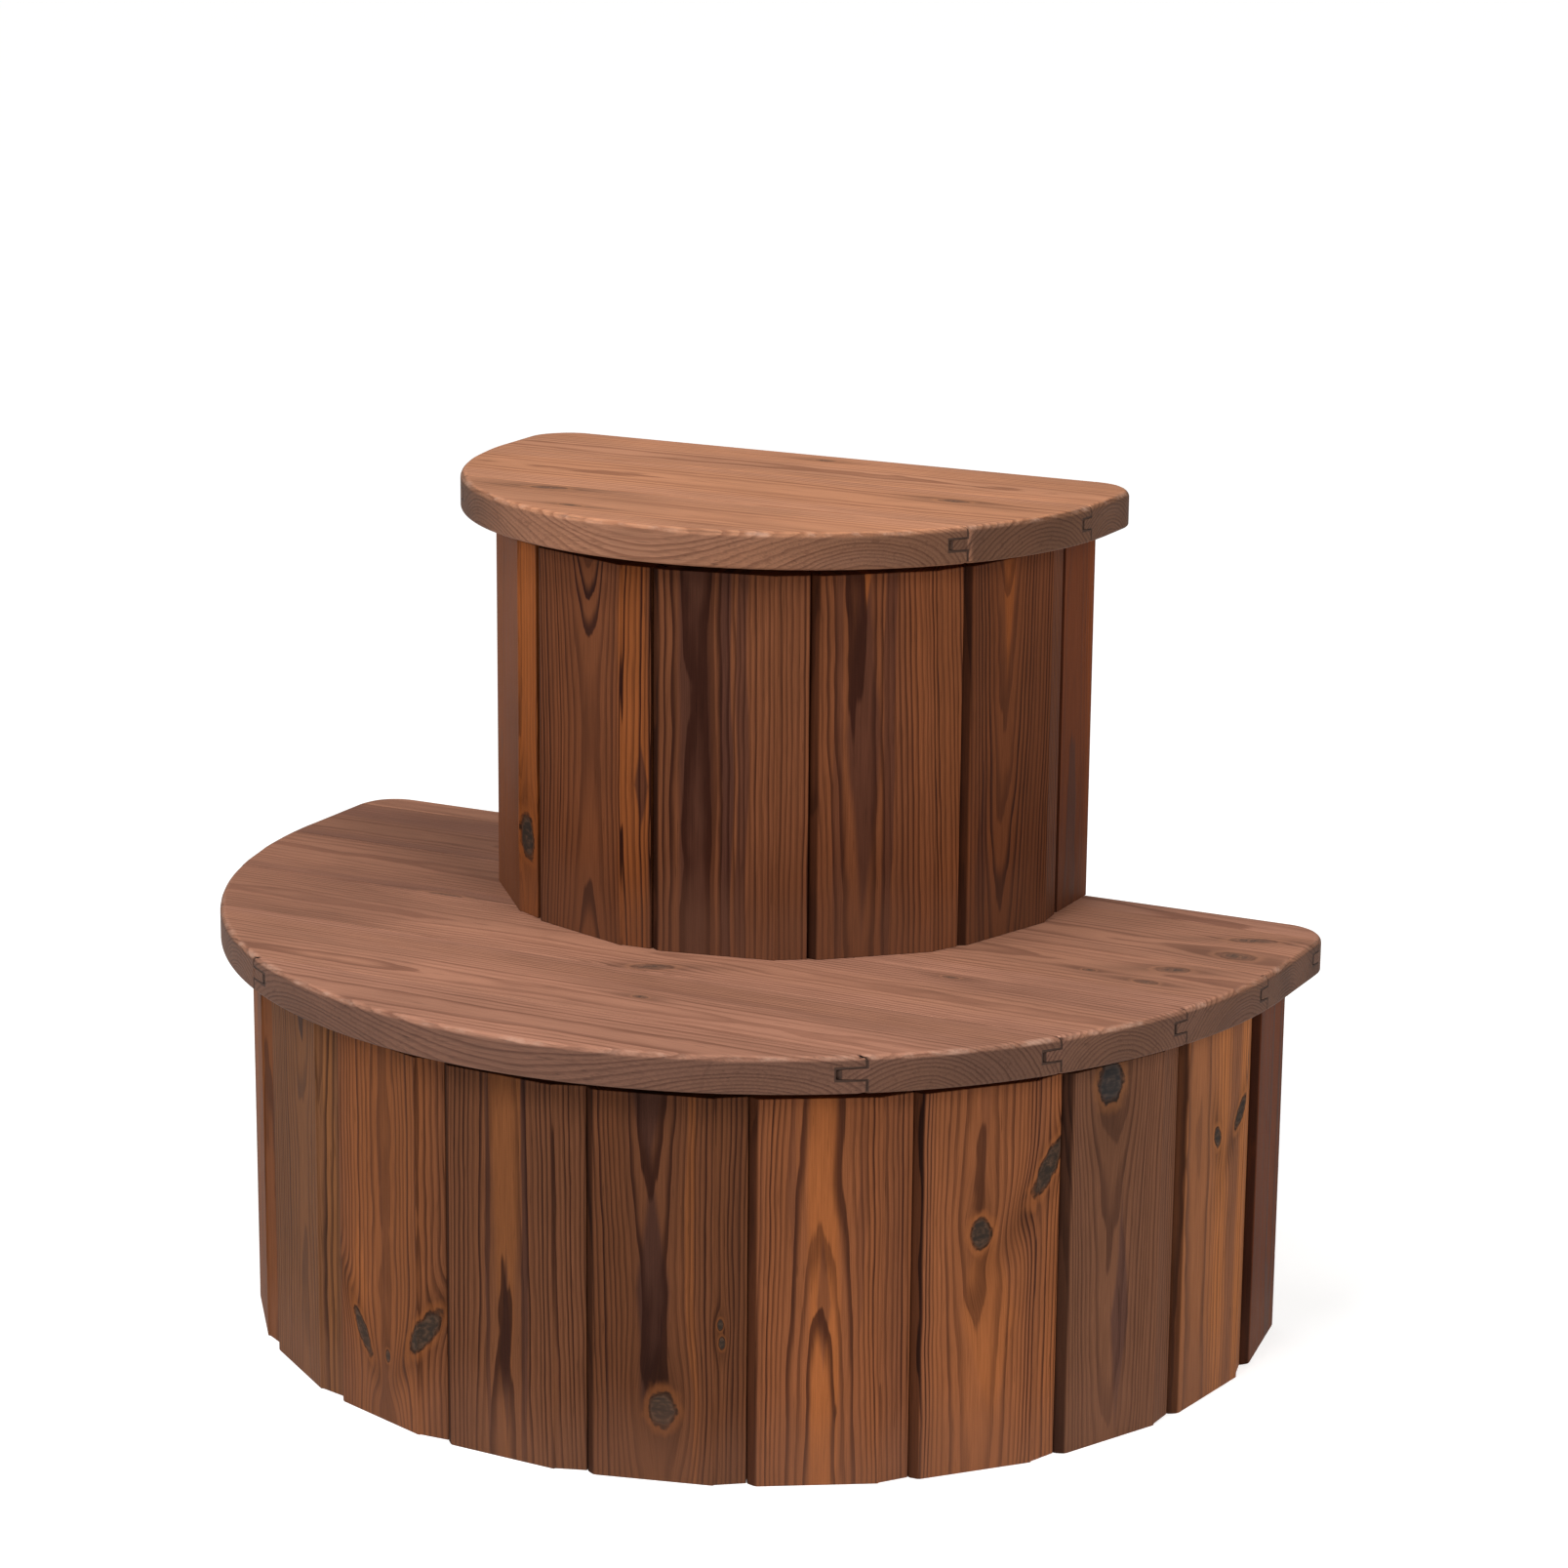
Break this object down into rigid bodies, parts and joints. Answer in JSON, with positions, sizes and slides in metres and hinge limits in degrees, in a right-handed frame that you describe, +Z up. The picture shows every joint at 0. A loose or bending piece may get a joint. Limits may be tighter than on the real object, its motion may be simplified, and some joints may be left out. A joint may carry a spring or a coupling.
{
  "type": "spa steps",
  "caption": "Two-tread round-fronted wooden steps that stand against a hot tub or spa, with a smaller D-shaped upper module on a larger D-shaped lower one.",
  "frame": {"origin": "centre of the footprint box, at floor level", "axes": "+X across the steps, left to right as seen by someone about to climb; +Y towards the tub; +Z up. The treads' straight back edges lie in the plane y = 0.253 m"},
  "size_m": [0.81, 0.506, 0.62],
  "materials": {
    "stave_wood": "oiled heat-treated pine, reddish brown, satin",
    "tread_wood": "worn heat-treated pine, paler and drier than the staves",
    "plywood": "bare plywood formers",
    "frame_wood": "sawn posts and battens",
    "screw_steel": "stainless screws"
  },
  "bodies": {
    "root": {"lower_back_post_left": "frame_wood", "lower_back_post_right": "frame_wood", "lower_bottom_former": "plywood", "lower_front_post_left": "frame_wood", "lower_front_post_right": "frame_wood", "lower_stave_01": "stave_wood", "lower_stave_02": "stave_wood", "lower_stave_03": "stave_wood", "lower_stave_04": "stave_wood", "lower_stave_05": "stave_wood", "lower_stave_06": "stave_wood", "lower_stave_07": "stave_wood", "lower_stave_08": "stave_wood", "lower_stave_09": "stave_wood", "lower_stave_10": "stave_wood", "lower_stave_11": "stave_wood", "lower_stave_12": "stave_wood", "lower_stave_13": "stave_wood", "lower_top_former": "plywood", "lower_tread_batten_01": "frame_wood", "lower_tread_batten_02": "frame_wood", "lower_tread_batten_03": "frame_wood", "lower_tread_board_01": "tread_wood", "lower_tread_board_02": "tread_wood", "lower_tread_board_03": "tread_wood", "lower_tread_board_04": "tread_wood", "lower_tread_board_05": "tread_wood", "lower_tread_board_06": "tread_wood", "module_screw_01": "screw_steel", "module_screw_02": "screw_steel", "module_screw_03": "screw_steel", "module_screw_04": "screw_steel", "upper_back_post_left": "frame_wood", "upper_back_post_right": "frame_wood", "upper_bottom_former": "plywood", "upper_front_post_left": "frame_wood", "upper_front_post_right": "frame_wood", "upper_stave_01": "stave_wood", "upper_stave_02": "stave_wood", "upper_stave_03": "stave_wood", "upper_stave_04": "stave_wood", "upper_stave_05": "stave_wood", "upper_stave_06": "stave_wood", "upper_stave_07": "stave_wood", "upper_stave_08": "stave_wood", "upper_top_former": "plywood", "upper_tread_batten_01": "frame_wood", "upper_tread_batten_02": "frame_wood", "upper_tread_board_01": "tread_wood", "upper_tread_board_02": "tread_wood", "upper_tread_board_03": "tread_wood"}
  },
  "joints": []
}
